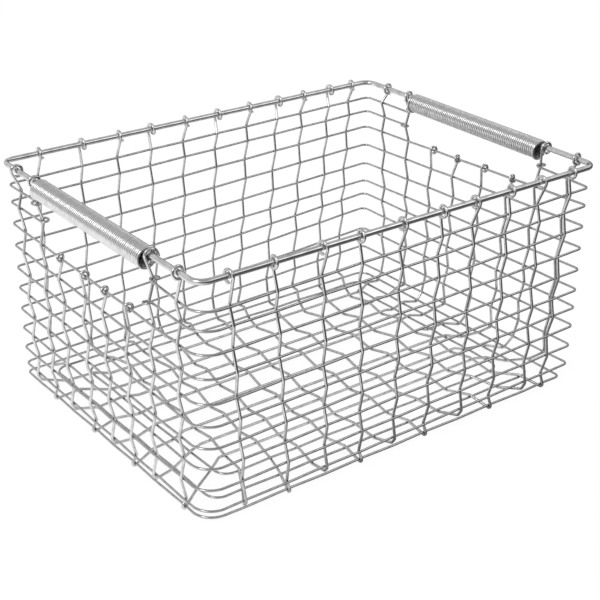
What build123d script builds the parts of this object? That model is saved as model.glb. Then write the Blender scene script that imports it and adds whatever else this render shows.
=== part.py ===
from build123d import *
from math import asin, atan2, ceil, copysign, cos, hypot, pi, radians, sin
import os

# Woven wire locker basket with two coil grips, in millimetres.
# +Z is up and the origin lies on the ground under the middle of the basket.
# The long walls are the front (-Y) and the back (+Y). The grips turn on the rim at -X and +X.
# Every wire is modelled with few flat sides, straight runs and mitred bends.

# Driving sizes of the basket
rim_length = 406.0        # centre line of the rim rod, left to right
rim_width = 304.0         # centre line of the rim rod, front to back
basket_depth = 203.5      # rim rod centre line down to the bottom edge wire
wall_inset = 2.4          # the wall rows stand this far inside the rim rod's centre line
edge_inset = 1.6          # and the bottom edge this much further, because the walls round in to it
edge_rounding = 6         # how late they do so: the power of a row's share of the depth
rim_corner = 10.5         # bend radius at the corners of the rim
row_corners = (18.0, 5.0, 6.0, 6.0)  # and of the wall rows, at each corner
floor_corner = 12.0       # bend radius at the corners of the floor rings
floor_rise = 0.6          # the floor stands this much above the bottom edge
foot_flat = 0.15          # worn off the lowest wires, where the basket stands

# Wires
rod_diameter = 4.8
stake_diameter = 2.5
weaver_diameter = 2.1
rod_sides = 16
wire_sides = 6
stake_wrap = radians(330) # how far a stake's end is wrapped
row_wrap = radians(300)   # and a row's end
hook_step = radians(66)   # largest turn at one mitre of a hook
corner_step = radians(30) # largest turn at one mitre of a row's corner
rim_step = radians(15)    # largest turn at one mitre of the rim rod
whole_step_slack = 0.01   # a turn this little over a whole number of steps takes no further one
weaver_tip_wrap = radians(90)  # the weaver's last bend, down beside a floor stake
bend_radius = 3.0         # where a stake turns away from the wire that it crosses
stake_hook_drift = 3.4    # a stake's tip has moved this far further aside than the stake leans
row_hook_drift = 1.8      # a row's tip has moved this far up
hook_leans = {"front": -0.5, "back": 2.5, "left": -3.0, "right": -3.0}  # a stake leans this far aside into its hook
far_hook_lean = 0.5       # and the stake behind a grip, out of the grip's way

# Clearances between wires that touch on the real basket, and the slack of its hooks
weave_clearance = 0.12
row_hook_clearance = 1.0
top_hook_clearance = 0.7  # where a stake's end goes round the row under a hand hole
top_hook_rise = 0.5       # and stands on it
rod_clearance = 0.15
rod_hook_slack = 0.8      # a stake's end hangs from the rod by the top of its hook

# Grips: close-wound coils that hang loose on the rim rod
grip_diameter = 18.0
grip_wire = 2.3
grip_wire_sides = 4
grip_turns = 50
grip_turn_runs = 8
grip_play = 1.5           # free room between a coil's end and the stake beside it
grip_clearance = 0.3      # between the rod and the coil that hangs on it

# Weaver: one wire, spiralled down the walls and inwards over the floor. Its turns are
# numbered from the rim. Corners come in the order front-left, front-right, back-right and
# back-left. Depths below the rim are shares of the basket's depth.
first_turn = 2
edge_turn = 11
last_turn = 13
weaver_start_share = 0.203
corner_depth_shares = (
    (0.207, 0.302, 0.400, 0.504, 0.598, 0.691, 0.780, 0.875, 0.971),
    (0.182, 0.279, 0.381, 0.482, 0.580, 0.666, 0.757, 0.855, 0.948),
    (0.228, 0.324, 0.424, 0.518, 0.590, 0.672, 0.785, 0.885, 0.985),
    (0.276, 0.378, 0.483, 0.580, 0.681, 0.776, 0.873, 0.954, 1.0),
)

# Depths of the cut top rows at their first end, at their two corners and at their last end
front_row_shares = (0.113, 0.130, 0.100, 0.094)
back_row_shares = ((0.074, 0.076, 0.100, 0.095), (0.142, 0.146, 0.178, 0.176))

# How far each floor ring stands in from the bottom edge, as shares of half the rim's size
ring_inset_shares = {
    "front": (0.0, 0.132, 0.289),
    "right": (0.044, 0.128, 0.207),
    "back": (0.086, 0.191, 0.191),
    "left": (0.103, 0.222, 0.222),
}

# Places of the cross stakes, left to right, as shares of half the rim's length
cross_front_rim_shares = (-0.865, -0.670, -0.451, -0.271, -0.067, 0.140, 0.313, 0.510, 0.685, 0.867)
cross_front_edge_shares = (-0.800, -0.593, -0.409, -0.231, -0.057, 0.116, 0.316, 0.493, 0.700, 0.815)
cross_front_floor_shares = (-0.660, -0.512, -0.389, -0.236, -0.094, 0.099, 0.251, 0.438, 0.576, 0.709)
cross_back_floor_shares = (-0.590, -0.448, -0.315, -0.172, -0.025, 0.118, 0.256, 0.409, 0.547, 0.704)
cross_back_edge_shares = (-0.646, -0.468, -0.281, -0.138, 0.029, 0.184, 0.354, 0.523, 0.681, 0.818)
cross_back_rim_shares = (-0.639, -0.453, -0.288, -0.105, 0.074, 0.254, 0.424, 0.574, 0.737, 0.872)
cross_floor_knot_share = 0.66

# The single stake of the back wall, on the floor, at the bottom edge and at the rim
back_stake_shares = (-0.778, -0.850, -0.845)

# Places of the long stakes, front to back, as shares of half the rim's width
long_left_rim_shares = (-0.805, -0.565, -0.300, -0.055, 0.165, 0.437, 0.600, 0.850)
long_left_edge_shares = (-0.783, -0.504, -0.288, -0.077, 0.144, 0.378, 0.597, 0.798)
long_floor_shares = (-0.513, -0.342, -0.171, -0.020, 0.158, 0.322, 0.467, 0.645)
long_right_edge_shares = (-0.768, -0.526, -0.309, -0.104, 0.128, 0.329, 0.529, 0.750)
long_right_rim_shares = (-0.835, -0.600, -0.380, -0.130, 0.112, 0.342, 0.582, 0.828)
long_floor_left_share = 0.69
long_floor_right_share = 0.735

# Sizes worked out from the ones above
half_length = rim_length / 2
half_width = rim_width / 2
weave_reach = (stake_diameter + weaver_diameter) / 2 + weave_clearance
row_hook_reach = (stake_diameter + weaver_diameter) / 2 + row_hook_clearance
top_hook_reach = (stake_diameter + weaver_diameter) / 2 + top_hook_clearance
stake_reach = stake_diameter + weave_clearance
rod_reach = (rod_diameter + stake_diameter) / 2 + rod_clearance + rod_hook_slack
wire_flat = stake_diameter / 2 * cos(pi / wire_sides)
edge_height = weave_reach + wire_flat - foot_flat
floor_height = edge_height + floor_rise
rim_height = edge_height + basket_depth
cross_count = len(cross_front_rim_shares)
long_count = len(long_floor_shares)
stake_count = 2 * cross_count + 1 + 2 * long_count

# The walls in the order in which the weaver passes them
walls = ("front", "right", "back", "left")
heading_of = {"front": 0, "right": pi / 2, "back": pi, "left": 3 * pi / 2}
outward = {"front": -1, "right": 1, "back": 1, "left": -1}
forward = {"front": 1, "right": 1, "back": -1, "left": -1}

# Each stake's number in the weaver's round: front, right, back and left wall
right_number = [cross_count + i for i in range(long_count)]
back_number = [2 * cross_count + long_count - 1 - i for i in range(cross_count)]
back_stake_number = 2 * cross_count + long_count
left_number = [stake_count - 1 - i for i in range(long_count)]

# The long stakes beside the hand holes
near, far = 1, long_count - 2


def passes_inside(turn, number):
    """+1 where a stake passes inside or over the weaver, -1 where it passes outside or under."""
    return 1 if (stake_count * turn + number) % 2 else -1


def half_size(wall):
    return half_width if wall in ("front", "back") else half_length


def bend(centre, reach, heading, turn, largest):
    """Mitre points of a path that turns at a signed reach to the left of a centre.

    A turn round the centre follows it. A turn away from it has a bend radius of its own.
    """
    if reach * turn > 0:
        beyond = (reach + copysign(bend_radius, turn)) / cos(turn / 2)
        middle = heading + turn / 2
        centre = (centre[0] - beyond * sin(middle), centre[1] + beyond * cos(middle))
        reach = -copysign(bend_radius, turn)
    count = max(1, ceil(abs(turn) / largest - whole_step_slack))
    step = turn / count
    corners = []
    for i in range(count):
        middle = heading + step * (i + 0.5)
        out = reach / cos(step / 2)
        corners.append((centre[0] - out * sin(middle), centre[1] + out * cos(middle), (i + 0.5) / count))
    return corners


def hook(centre, reach, heading, turn, at_start):
    """A wire's wrapped end. Each point carries its share of the wrap, 1 at the tip."""
    tip_heading = heading - turn if at_start else heading + turn
    tip = (centre[0] - reach * sin(tip_heading), centre[1] + reach * cos(tip_heading), 1)
    if at_start:
        return [tip] + [(u, v, 1 - s) for u, v, s in bend(centre, reach, tip_heading, turn, hook_step)]
    return bend(centre, reach, heading, turn, hook_step) + [tip]


def corner_depth(corner, turn):
    """Depth of one of the weaver's corners below the rim."""
    if turn < edge_turn:
        return basket_depth * corner_depth_shares[corner][turn - first_turn]
    return basket_depth - (floor_rise if (turn, corner) > (edge_turn, 1) else 0)


def corner_radius(corner, turn):
    return floor_corner if (turn, corner) > (edge_turn, 1) else row_corners[corner]


def run_line(wall, turn, depth):
    """Signed distance of a run of the weaver from the middle of the basket."""
    inset = wall_inset + edge_inset * (depth / basket_depth) ** edge_rounding
    if turn >= edge_turn:
        inset += half_size(wall) * ring_inset_shares[wall][turn - edge_turn]
    return outward[wall] * (half_size(wall) - inset)


def plan(wall, line, place):
    """Plan point on a wall's line, at a place along the wall."""
    return (place, line) if wall in ("front", "back") else (line, place)


# Straight runs of every row, by wall and turn: line, first and last place, first and last height
runs = {}


def row_points(legs, first_place, last_place):
    """Corner points of a row. Each leg is a wall, a turn and the depths at its two ends."""
    lines = [run_line(wall, turn, (a + b) / 2) for wall, turn, a, b in legs]
    radii = [corner_radius(walls.index(wall), turn) for wall, turn, _, _ in legs]
    points = []
    for i, (wall, turn, a, b) in enumerate(legs):
        start = first_place if i == 0 else lines[i - 1] + forward[wall] * radii[i]
        last = i == len(legs) - 1
        end = last_place if last else lines[i + 1] - forward[wall] * radii[i + 1]
        runs.setdefault((wall, turn), []).append((lines[i], start, end, rim_height - a, rim_height - b))
        if not last:
            x, y = plan(wall, lines[i], end)
            turned = heading_of[wall] + pi / 2
            centre = (x + radii[i + 1] * cos(turned), y + radii[i + 1] * sin(turned))
            for x, y, _ in bend(centre, -radii[i + 1], heading_of[wall], pi / 2, corner_step):
                points.append((x, y, rim_height - b))
    return points


def row_at(wall, turn, place):
    """Line and height of a row where it passes a place on a wall."""
    for line, start, end, start_height, end_height in runs[wall, turn]:
        if min(start, end) <= place <= max(start, end):
            return line, start_height + (end_height - start_height) * (place - start) / (end - start)
    nearest = min(runs[wall, turn], key=lambda run: min(abs(place - run[1]), abs(place - run[2])))
    return nearest[0], nearest[3] if abs(place - nearest[1]) < abs(place - nearest[2]) else nearest[4]


def place_between(across, height, half, floor_knots, tables):
    """Sideways place of a stake, read from its tables by its way down the wall and over the floor."""
    edge = half - wall_inset - edge_inset
    knots = [-half - basket_depth, -edge, *floor_knots, edge, half + basket_depth]
    climbed = max(0, height - edge_height)
    along = across + (climbed if across > 0 else -climbed)
    along = min(max(along, knots[0]), knots[-1])
    for low, high, start, end in zip(knots, knots[1:], tables, tables[1:]):
        if along <= high:
            return start + (end - start) * (along - low) / (high - low)


def long_place(i, across, height):
    """Y of a long stake."""
    tables = (long_left_rim_shares, long_left_edge_shares, long_floor_shares,
              long_floor_shares, long_right_edge_shares, long_right_rim_shares)
    floor_knots = (-half_length * long_floor_left_share, half_length * long_floor_right_share)
    return place_between(across, height, half_length, floor_knots, [half_width * t[i] for t in tables])


def cross_place(i, across, height):
    """X of a cross stake."""
    tables = (cross_front_rim_shares, cross_front_edge_shares, cross_front_floor_shares,
              cross_back_floor_shares, cross_back_edge_shares, cross_back_rim_shares)
    knot = half_width * cross_floor_knot_share
    return place_between(across, height, half_width, (-knot, knot), [half_length * t[i] for t in tables])


def back_stake_place(across, height):
    """X of the single back stake."""
    floor, edge, rim = [half_length * share for share in back_stake_shares]
    knot = half_width * cross_floor_knot_share
    return place_between(across, height, half_width, (-knot, knot), [floor, floor, floor, floor, edge, rim])


def row_hook(wall, turn, i, number, depth, at_start):
    """A row's end, wrapped round the long stake beside a hand hole."""
    line = run_line(wall, turn, depth)
    place = long_place(i, line, rim_height - depth)
    side = passes_inside(turn, number)
    x, y = plan(wall, line, place)
    centre = (x - outward[wall] * side * row_hook_reach, y)
    wrapped = hook(centre, -side * row_hook_reach, heading_of[wall], side * row_wrap, at_start)
    return [(x, y, rim_height - depth + row_hook_drift * share) for x, y, share in wrapped], place


def cut_row(passed, turns, shares, i, first_number, last_number):
    """A short row that ends round the stakes beside the two hand holes."""
    depths = [basket_depth * share for share in shares]
    legs = list(zip(passed, turns, depths, depths[1:]))
    start, first_place = row_hook(passed[0], turns[0], i, first_number, depths[0], True)
    end, last_place = row_hook(passed[-1], turns[-1], i, last_number, depths[-1], False)
    return start + row_points(legs, first_place, last_place) + end


def wall_stops(wall, turns, number, place_of):
    """Where a stake crosses the rows of one wall: across, height and signed reach."""
    stops = []
    for turn in turns:
        line, height = row_at(wall, turn, 0)
        for _ in range(2):
            line, height = row_at(wall, turn, place_of(line, height))
        stops.append((line, height, passes_inside(turn, number) * weave_reach))
    return stops


def rim_stop(line, top_turn, number):
    """Where a stake is hooked round the rim rod, which it passes like one more turn of the weaver."""
    return line, rim_height - rod_hook_slack, passes_inside(top_turn - 1, number) * rod_reach


def top_stop(crossing):
    """Where a stake is hooked round the row under a hand hole, in place of the plain crossing."""
    line, height, reach = crossing
    return line, height + top_hook_rise, copysign(top_hook_reach, reach)


def pull_taut(stops):
    """A wire pulled over its stops and hooked round the first and the last.

    A stop is (across, height, reach), and the reach is kept to the wire's left, which is
    inside the basket, or to its right where negative. Each point carries its share of a hook.
    """
    ways = []
    for (u, z, reach), (next_u, next_z, next_reach) in zip(stops, stops[1:]):
        lean = asin((next_reach - reach) / hypot(next_u - u, next_z - z))
        ways.append(atan2(next_z - z, next_u - u) + lean)
    u, z, reach = stops[0]
    points = hook((u, z), reach, ways[0], stake_wrap if reach < 0 else -stake_wrap, True)
    for (u, z, reach), way, next_way in zip(stops[1:], ways, ways[1:]):
        turn = (next_way - way + pi) % (2 * pi) - pi
        points += [(*point[:2], 0) for point in bend((u, z), reach, way, turn, hook_step)]
    u, z, reach = stops[-1]
    return points + hook((u, z), reach, ways[-1], stake_wrap if reach < 0 else -stake_wrap, False)


def aside(lean, share):
    """How far a point of a stake stands aside from the stake's line. Only its hooks do."""
    return lean + copysign(stake_hook_drift, lean) * share if share else 0


def cross_stake(i):
    """A stake that runs down the front, across the floor and up the back."""
    def place_of(across, height):
        return cross_place(i, across, height)
    front = wall_stops("front", range(1, last_turn + 1), i, place_of)
    back = wall_stops("back", range(last_turn - 1, -1, -1), back_number[i], place_of)
    side = passes_inside(last_turn, i)
    middle = [(half_width * share, floor_height, stake_reach * (side if j % 2 else -side))
              for j, share in enumerate(long_floor_shares)]
    front_rim = rim_stop(-half_width, 1, i)
    back_rim = rim_stop(half_width, 0, back_number[i])
    points = []
    for u, z, share in pull_taut([front_rim, *front, *middle, *back, back_rim]):
        lean = hook_leans["front" if u < 0 else "back"]
        points.append((place_of(u, z) + aside(lean, share), u, z))
    return points


def back_stake():
    """The single stake of the back wall, hooked round a floor ring at its lower end."""
    stops = wall_stops("back", range(edge_turn, -1, -1), back_stake_number, back_stake_place)
    wire = pull_taut([*stops, rim_stop(half_width, 0, back_stake_number)])
    return [(back_stake_place(u, z) + aside(hook_leans["back"], share), u, z) for u, z, share in wire]


def long_stake(i):
    """A stake that runs down the left wall, along the floor and up the right wall."""
    def place_of(across, height):
        return long_place(i, across, height)
    in_hole = near < i < far
    left_top = first_turn if in_hole else 0
    right_top = first_turn if in_hole else int(i <= near)
    left = wall_stops("left", range(left_top, last_turn), left_number[i], place_of)
    right = wall_stops("right", range(last_turn, right_top - 1, -1), right_number[i], place_of)
    middle = [(-half_length * long_floor_left_share, floor_height, 0),
              (half_length * long_floor_right_share, floor_height, 0)]
    if in_hole:
        stops = [top_stop(left[0]), *left[1:], *middle, *right[:-1], top_stop(right[-1])]
    else:
        left_rim = rim_stop(-half_length, left_top, left_number[i])
        right_rim = rim_stop(half_length, right_top, right_number[i])
        stops = [left_rim, *left, *middle, *right, right_rim]
    points = []
    for u, z, share in pull_taut(stops):
        lean = far_hook_lean if i == far else hook_leans["left" if u < 0 else "right"]
        points.append((u, place_of(u, z) + aside(lean, share), z))
    return points


# Top rows, cut at the hand holes and hooked round the stakes beside them
front_row = cut_row(("left", "front", "right"), (0, 1, 1), front_row_shares,
                    near, left_number[near], right_number[near])
back_rows = [cut_row(("right", "back", "left"), (turn, turn, turn), shares,
                     far, right_number[far], left_number[far])
             for turn, shares in enumerate(back_row_shares)]

# Weaver: from a hook at the front of the left hand hole, round and down to the floor
start_depth = basket_depth * weaver_start_share
corners = [(corner, turn) for turn in range(first_turn, last_turn + 1) for corner in range(len(walls))]
legs = [("left", first_turn - 1, start_depth, corner_depth(*corners[0]))]
for (corner, turn), following in zip(corners, corners[1:]):
    legs.append((walls[corner], turn, corner_depth(corner, turn), corner_depth(*following)))
legs = legs[:-1]
weaver_start, start_place = row_hook("left", first_turn - 1, near, left_number[near], start_depth, True)

# It ends over the rearmost long stake, bent down behind it
end_line = run_line("right", last_turn, basket_depth)
end_place = long_place(long_count - 1, end_line, floor_height)
end_side = passes_inside(last_turn, right_number[-1])
end_centre = (end_place, floor_height + end_side * weave_reach)
end_hook = hook(end_centre, -end_side * weave_reach, 0, end_side * weaver_tip_wrap, False)
weaver_end = [(end_line, y, z) for y, z, _ in end_hook]
weaver = weaver_start + row_points(legs, start_place, end_place) + weaver_end

cross_stakes = [cross_stake(i) for i in range(cross_count)]
long_stakes = [long_stake(i) for i in range(long_count)]
single_stake = back_stake()

# Grips: each coil hangs on the rod by the top of its bore
grip_mean_radius = (grip_diameter - grip_wire) / 2
grip_bore_radius = grip_mean_radius * cos(pi / grip_turn_runs) - grip_wire / 2
grip_drop = grip_bore_radius - rod_diameter / 2 - grip_clearance
hook_end = half_width * long_right_rim_shares[far] + far_hook_lean
grip_end = hook_end - stake_diameter / 2 - grip_play
grip_half = grip_end - grip_wire / 2
grip_steps = grip_turns * grip_turn_runs


def coil(line):
    """Points of a coil whose axis runs along Y."""
    points = []
    for step in range(grip_steps + 1):
        angle = 2 * pi * step / grip_turn_runs
        place = grip_half * (2 * step / grip_steps - 1)
        points.append((line + grip_mean_radius * cos(angle), place,
                       rim_height - grip_drop + grip_mean_radius * sin(angle)))
    return points


def bent_wire(points, diameter, sides):
    """A wire of few flat sides, with two of its flats level where it lies flat."""
    start, towards = Vector(*points[0]), Vector(*points[1])
    level = Vector(0, 0, 1).cross(towards - start)
    with BuildPart() as wire:
        with BuildLine() as route:
            Polyline(*points)
        with BuildSketch(Plane(origin=start, x_dir=level, z_dir=towards - start)):
            RegularPolygon(diameter / 2, sides)
        sweep(path=route.line, transition=Transition.RIGHT)
    return wire


def save(piece, name):
    piece.part.label = name
    export_step(piece.part, f"parts/{name}.step")
    print(f"{name}: {len(piece.part.solids())} solid, {piece.part.volume:.0f} mm3")


os.makedirs("parts", exist_ok=True)

# Rim rod: bent to a closed rectangle and butt-welded in the middle of the back
rim_centres = ((-half_length, half_width), (-half_length, -half_width),
               (half_length, -half_width), (half_length, half_width))
rim_points = [(0, half_width)]
for (x, y), heading in zip(rim_centres, (pi, 3 * pi / 2, 0, pi / 2)):
    centre = (x - copysign(rim_corner, x), y - copysign(rim_corner, y))
    rim_points += [point[:2] for point in bend(centre, -rim_corner, heading, pi / 2, rim_step)]
save(bent_wire([(x, y, rim_height) for x, y in rim_points + rim_points[:1]], rod_diameter, rod_sides), "rim_rod")

# Weaver and the cut top rows
save(bent_wire(weaver, weaver_diameter, wire_sides), "weaver")
save(bent_wire(front_row, weaver_diameter, wire_sides), "front_top_row")
save(bent_wire(back_rows[0], weaver_diameter, wire_sides), "back_top_row_upper")
save(bent_wire(back_rows[1], weaver_diameter, wire_sides), "back_top_row_lower")

# Stakes, worn flat where they stand on the ground
stakes = {f"cross_stake_{i + 1:02d}": points for i, points in enumerate(cross_stakes)}
stakes |= {f"long_stake_{i + 1}": points for i, points in enumerate(long_stakes)}
stakes["back_stake"] = single_stake
for name, points in stakes.items():
    with BuildPart() as stake:
        add(bent_wire(points, stake_diameter, wire_sides).part)
        split(bisect_by=Plane.XY, keep=Keep.TOP)
    save(stake, name)

# Grips
for name, line in (("grip_left", -half_length), ("grip_right", half_length)):
    turns = coil(line)
    save(bent_wire(turns, grip_wire, grip_wire_sides), name)
    least = min(Vector(*a).sub(Vector(*b)).length for i, a in enumerate(turns)
                for b in turns[i + grip_turn_runs // 2:i + 2 * grip_turn_runs])
    print(f"{name}: {grip_turns} turns, least gap between turns {least - grip_wire:.2f} mm, "
          f"hangs {grip_drop:.2f} mm below the rod's centre line")

print(f"rim height {rim_height:.2f} mm, weave reach {weave_reach:.2f} mm, rod reach {rod_reach:.2f} mm")
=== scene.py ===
# %% [markdown]
# # A wire locker basket, woven from plated steel wire
#
# The real basket is bent and woven from four kinds of steel wire: a thick rim rod, upright
# stakes, one long weaver that spirals down the walls and over the floor, and two close-wound
# springs that hang on the rim as grips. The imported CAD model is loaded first. It fixes where
# everything is, how large it is and what moves, and every piece made here stays inside its box.

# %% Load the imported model
from functools import partial
from math import asin, atan2, ceil, copysign, cos, hypot, pi, radians, sin

import bpy
import numpy as np
from mathutils import Matrix, Vector
from mathutils.kdtree import KDTree


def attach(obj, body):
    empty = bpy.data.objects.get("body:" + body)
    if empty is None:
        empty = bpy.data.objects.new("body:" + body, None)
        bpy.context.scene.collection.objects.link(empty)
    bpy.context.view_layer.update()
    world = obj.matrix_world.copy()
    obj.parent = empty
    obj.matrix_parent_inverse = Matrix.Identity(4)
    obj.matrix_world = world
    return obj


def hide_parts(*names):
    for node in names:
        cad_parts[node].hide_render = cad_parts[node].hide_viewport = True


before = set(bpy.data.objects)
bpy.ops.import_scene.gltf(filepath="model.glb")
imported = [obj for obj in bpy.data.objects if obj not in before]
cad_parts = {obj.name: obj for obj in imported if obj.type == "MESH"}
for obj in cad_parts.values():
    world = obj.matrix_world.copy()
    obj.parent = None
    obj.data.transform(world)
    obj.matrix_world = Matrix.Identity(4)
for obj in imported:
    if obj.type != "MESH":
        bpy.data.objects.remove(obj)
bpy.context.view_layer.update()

# %% [markdown]
# ## The camera
#
# The photograph looks down on the front left corner through a long lens. A long lens keeps
# the far walls nearly as large as the near ones, and it is what makes the rows on the left and
# on the right meet at such open angles. The camera's place was found by matching the corners
# of the rim and of the floor, so it is given here as plain numbers.

# %% Camera
camera_place = (-0.6506, -0.8551, 0.6004)   # metres
camera_turn = radians(-37.36)               # to the right of straight ahead
camera_dip = radians(25.97)                 # below the horizon
camera_roll = radians(0.60)

forward = Vector((-sin(camera_turn) * cos(camera_dip), cos(camera_turn) * cos(camera_dip),
                  -sin(camera_dip)))
level = Vector((cos(camera_turn), sin(camera_turn), 0))
upward = level.cross(forward)
right = level * cos(camera_roll) + upward * sin(camera_roll)
upward = right.cross(forward)

camera = bpy.data.objects.new("camera", bpy.data.cameras.new("camera"))
camera.data.sensor_width = 36
camera.data.lens = 79.86
camera.matrix_world = Matrix((right, upward, -forward)).transposed().to_4x4()
camera.location = camera_place
bpy.context.scene.collection.objects.link(camera)
bpy.context.scene.camera = camera
print("camera at", camera_place, "lens", camera.data.lens, "mm")

# %% [markdown]
# ## The sizes that the weave follows
#
# A woven thing is easiest to model the way it is made: from a few sizes and a rule. The
# tables say where each stake stands, as a share of half the rim's length or width, because
# the real stakes were set by eye and stand neither upright nor evenly. All sizes are in
# millimetres and are turned into metres when a mesh is made.

# %% Sizes of the basket and its wires
rim_length, rim_width, basket_depth = 406.0, 304.0, 203.5
wall_inset, edge_inset, edge_rounding = 2.4, 1.6, 6
rim_corner, row_corners, floor_corner, floor_rise = 10.5, (18.0, 5.0, 6.0, 6.0), 12.0, 0.6

rod_diameter, stake_diameter, weaver_diameter = 4.8, 2.5, 2.1
stake_wrap, row_wrap, weaver_tip_wrap = radians(330), radians(300), radians(90)
bend_radius, worn_flat = 3.0, 0.15
stake_hook_drift, row_hook_drift = 2.7, 1.8
hook_leans, far_hook_lean = {"front": -0.5, "back": 2.5, "left": -3.0, "right": -3.0}, 0.5
weave_gap, rod_gap = 0.12, 0.15
row_hook_slack, top_hook_slack, rod_hook_slack = 1.0, 0.7, 0.8
top_hook_rise, rod_hook_hang = 0.5, 0.2

half_both = (stake_diameter + weaver_diameter) / 2
weave_reach, stake_reach = half_both + weave_gap, stake_diameter + weave_gap
row_hook_reach, top_hook_reach = half_both + row_hook_slack, half_both + top_hook_slack
rod_reach = (rod_diameter + stake_diameter) / 2 + rod_gap + rod_hook_slack

half_length, half_width = rim_length / 2, rim_width / 2
foot = stake_diameter / 2 * cos(pi / 6) - worn_flat
edge_height = weave_reach + foot
floor_height = edge_height + floor_rise
rim_height = edge_height + basket_depth
print("rim rod's centre line at", round(rim_height, 2), "mm")

# %% Where the weaver's turns and the cut rows run
first_turn, edge_turn, last_turn = 2, 11, 13
weaver_start_share = 0.203
corner_depth_shares = (   # front left, front right, back right and back left corner
    (0.207, 0.302, 0.400, 0.504, 0.598, 0.691, 0.780, 0.875, 0.971),
    (0.182, 0.279, 0.381, 0.482, 0.580, 0.666, 0.757, 0.855, 0.948),
    (0.228, 0.324, 0.424, 0.518, 0.590, 0.672, 0.785, 0.885, 0.985),
    (0.276, 0.378, 0.483, 0.580, 0.681, 0.776, 0.873, 0.954, 1.0),
)
front_row_shares = (0.113, 0.130, 0.100, 0.094)
back_row_shares = ((0.074, 0.076, 0.100, 0.095), (0.142, 0.146, 0.178, 0.176))
ring_inset_shares = {
    "front": (0.0, 0.132, 0.289),
    "right": (0.044, 0.128, 0.207),
    "back": (0.086, 0.191, 0.191),
    "left": (0.103, 0.222, 0.222),
}

# %% Where the stakes stand
cross_shares = (
    (-0.865, -0.670, -0.451, -0.271, -0.067, 0.140, 0.313, 0.510, 0.685, 0.867),   # front rim
    (-0.800, -0.593, -0.409, -0.231, -0.057, 0.116, 0.316, 0.493, 0.700, 0.815),   # front edge
    (-0.660, -0.512, -0.389, -0.236, -0.094, 0.099, 0.251, 0.438, 0.576, 0.709),   # floor, front
    (-0.590, -0.448, -0.315, -0.172, -0.025, 0.118, 0.256, 0.409, 0.547, 0.704),   # floor, back
    (-0.646, -0.468, -0.281, -0.138, 0.029, 0.184, 0.354, 0.523, 0.681, 0.818),    # back edge
    (-0.639, -0.453, -0.288, -0.105, 0.074, 0.254, 0.424, 0.574, 0.737, 0.872),    # back rim
)
back_stake_shares = (-0.778, -0.850, -0.845)
long_floor = (-0.513, -0.342, -0.171, -0.020, 0.158, 0.322, 0.467, 0.645)
long_shares = (
    (-0.805, -0.565, -0.300, -0.055, 0.165, 0.437, 0.600, 0.850),                  # left rim
    (-0.783, -0.504, -0.288, -0.077, 0.144, 0.378, 0.597, 0.798),                  # left edge
    long_floor,
    long_floor,
    (-0.768, -0.526, -0.309, -0.104, 0.128, 0.329, 0.529, 0.750),                  # right edge
    (-0.835, -0.600, -0.380, -0.130, 0.112, 0.342, 0.582, 0.828),                  # right rim
)
cross_floor_knot, long_floor_left, long_floor_right = 0.66, 0.69, 0.735
cross_count, long_count = len(cross_shares[0]), len(long_floor)
stake_count = 2 * cross_count + 1 + 2 * long_count
near, far = 1, long_count - 2
print(stake_count, "crossings in one round of the weaver")

# %% [markdown]
# ## Over and under
#
# In a plain weave each stake passes over one row and under the next, and each row passes
# over one stake and under the next. With an odd number of stakes in a round, one wire can
# do that in an endless spiral. So one line of arithmetic, on the turn's and the stake's
# numbers, says on which side of the weaver a stake is.

# %% Numbering of the walls and the stakes
walls = ("front", "right", "back", "left")
heading_of = dict(zip(walls, (0, pi / 2, pi, 3 * pi / 2)))
outward = dict(zip(walls, (-1, 1, 1, -1)))
onward = dict(zip(walls, (1, 1, -1, -1)))
right_number = [cross_count + i for i in range(long_count)]
back_number = [2 * cross_count + long_count - 1 - i for i in range(cross_count)]
back_stake_number = 2 * cross_count + long_count
left_number = [stake_count - 1 - i for i in range(long_count)]


def passes_inside(turn, number):
    """+1 where a stake passes inside or over the weaver, -1 where it passes outside or under."""
    return 1 if (stake_count * turn + number) % 2 else -1


def half_size(wall):
    return half_width if wall in ("front", "back") else half_length


# %% Bends and hooks in a flat plane
bend_step, fine_step, rim_step = radians(18), radians(9), radians(7.5)


def bend(centre, reach, heading, turn, largest=bend_step):
    """Corner points of a wire that turns at a signed reach to the left of a centre."""
    if reach * turn > 0:
        beyond = (reach + copysign(bend_radius, turn)) / cos(turn / 2)
        middle = heading + turn / 2
        centre = (centre[0] - beyond * sin(middle), centre[1] + beyond * cos(middle))
        reach = -copysign(bend_radius, turn)
    count = max(1, ceil(abs(turn) / largest - 0.01))
    step = turn / count
    corners = []
    for i in range(count):
        middle = heading + step * (i + 0.5)
        out = reach / cos(step / 2)
        corners.append((centre[0] - out * sin(middle), centre[1] + out * cos(middle), (i + 0.5) / count))
    return corners


def hook(centre, reach, heading, turn, at_start):
    """A wire's wrapped end. Each point carries its share of the wrap, 1 at the tip."""
    tip_heading = heading - turn if at_start else heading + turn
    tip = (centre[0] - reach * sin(tip_heading), centre[1] + reach * cos(tip_heading), 1)
    if at_start:
        return [tip] + [(u, v, 1 - s) for u, v, s in bend(centre, reach, tip_heading, turn)]
    return bend(centre, reach, heading, turn) + [tip]


# %% [markdown]
# ## Rows that give a little
#
# A taut stake pulls the row that it crosses a few tenths of a millimetre out of line, and
# the next stake pulls it back the other way. The CAD model leaves that out. Here each row
# gets a point at each crossing, moved by that much, so its highlights shimmer as they do on
# the real basket instead of running along ruler-straight tubes.

# %% Depth and line of each run
row_give, edge_give_share, least_share = 0.35, 0.6, 0.01


def corner_depth(corner, turn):
    if turn < edge_turn:
        return basket_depth * corner_depth_shares[corner][turn - first_turn]
    return basket_depth - (floor_rise if (turn, corner) > (edge_turn, 1) else 0)


def corner_radius(corner, turn):
    return floor_corner if (turn, corner) > (edge_turn, 1) else row_corners[corner]


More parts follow.
